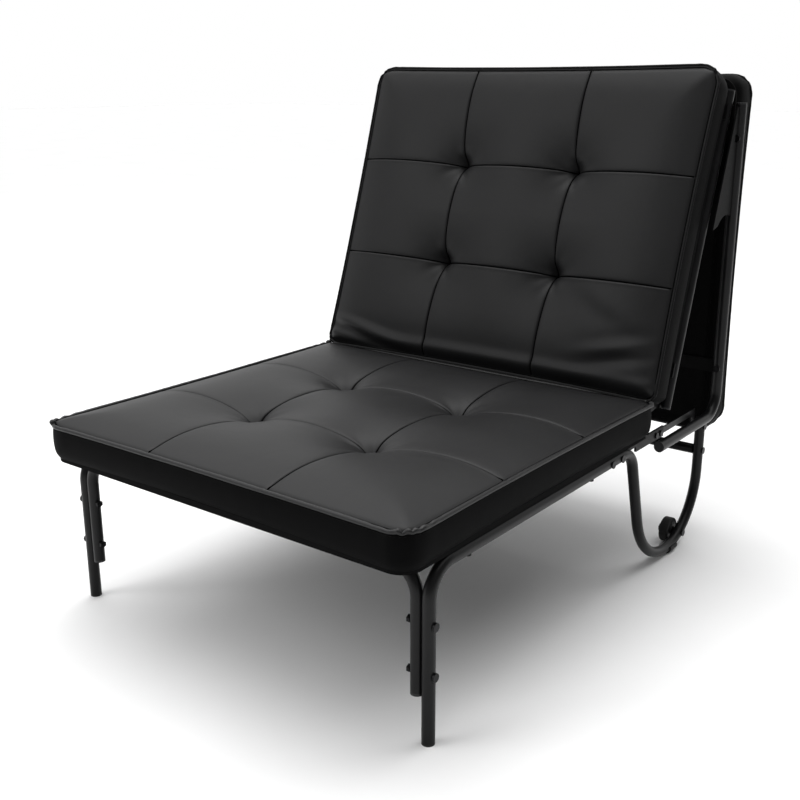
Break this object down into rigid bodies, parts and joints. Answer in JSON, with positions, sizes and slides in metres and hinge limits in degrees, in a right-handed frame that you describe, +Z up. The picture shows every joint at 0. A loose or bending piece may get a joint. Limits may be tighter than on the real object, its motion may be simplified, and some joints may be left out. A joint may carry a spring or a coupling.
{
  "type": "futon sofa bed",
  "caption": "Armless futon sofa bed on a bent steel tube base: padded seat with a two-part back that unfolds flat behind the seat on two linked hinges, with small rear wheels.",
  "frame": {"origin": "middle of the footprint of the whole sofa, on the floor", "axes": "+Z up, -Y to the front of the seat, +X to the sitter's left hand side as seen from behind, that is to the right seen from the front"},
  "size_m": [0.78, 1.0508, 0.8847],
  "materials": {
    "faux_leather": "satin",
    "lined_board": "matte",
    "black_tube": "gloss",
    "dark_plate": "satin",
    "fastener": "satin",
    "tyre": "matte",
    "wheel_plastic": "satin",
    "rubber": "matte",
    "plug_plastic": "satin"
  },
  "bodies": {
    "base": {"side_tube_right": "black_tube", "side_tube_left": "black_tube", "front_staple": "black_tube", "rear_cross_tube": "black_tube", "hinge_bracket_right": "dark_plate", "hinge_bracket_left": "dark_plate", "tie_bar_right": "black_tube", "tie_bar_left": "black_tube", "seat_board": "lined_board", "seat_cushion": "faux_leather", "front_foot_plugs": "rubber", "short_leg_plugs": "plug_plastic", "arm_plugs": "plug_plastic", "glide_pads": "rubber", "leg_bolts": "fastener", "leg_nuts": "fastener", "cross_tube_bolts": "fastener", "bracket_bolts": "fastener", "tie_bolts": "fastener", "tie_spacers": "plug_plastic", "axle_bolts": "fastener", "axle_nuts": "fastener", "seat_screws": "fastener", "seat_hinge_pins": "fastener"},
    "wheel_right": {"wheel_hub_right": "wheel_plastic", "tyre_right": "tyre"},
    "wheel_left": {"wheel_hub_left": "wheel_plastic", "tyre_left": "tyre"},
    "back": {"back_tube_right": "black_tube", "back_tube_left": "black_tube", "back_straps": "black_tube", "hinge_straps": "dark_plate", "back_board": "lined_board", "back_cushion": "faux_leather", "back_tube_plugs": "plug_plastic", "back_bolts": "fastener", "back_screws": "fastener", "fold_leaves_back": "black_tube", "back_leaf_screws": "fastener", "fold_bolts": "fastener", "fold_nuts": "fastener"},
    "rear": {"leg_tube_right": "black_tube", "leg_tube_left": "black_tube", "rear_straps": "black_tube", "fold_leaves_rear": "black_tube", "rear_leaf_screws": "fastener", "gusset_right": "black_tube", "gusset_left": "black_tube", "rear_board": "lined_board", "rear_cushion": "faux_leather", "leg_plugs": "plug_plastic", "rear_bolts": "fastener", "rear_nuts": "fastener", "rear_screws": "fastener"}
  },
  "joints": [
    {"name": "seat_hinge", "type": "hinge", "parent": "base", "child": "back", "pos_m": [0, 0.1863, 0.3075], "axis": [-1, 0, 0], "range_deg": [0, 71.5]},
    {"name": "fold_hinge", "type": "hinge", "parent": "back", "child": "rear", "pos_m": [0, 0.43395, 0.86989], "axis": [1, 0, 0], "range_deg": [0, 161.5]},
    {"name": "wheel_spin_right", "type": "hinge", "parent": "base", "child": "wheel_right", "pos_m": [0.3375, 0.3536, 0.02469], "axis": [1, 0, 0], "continuous": true},
    {"name": "wheel_spin_left", "type": "hinge", "parent": "base", "child": "wheel_left", "pos_m": [-0.3375, 0.3536, 0.02469], "axis": [1, 0, 0], "continuous": true}
  ],
  "couplings": [
    {"joint": "fold_hinge", "follows": "seat_hinge", "ratio": 2.2587}
  ]
}
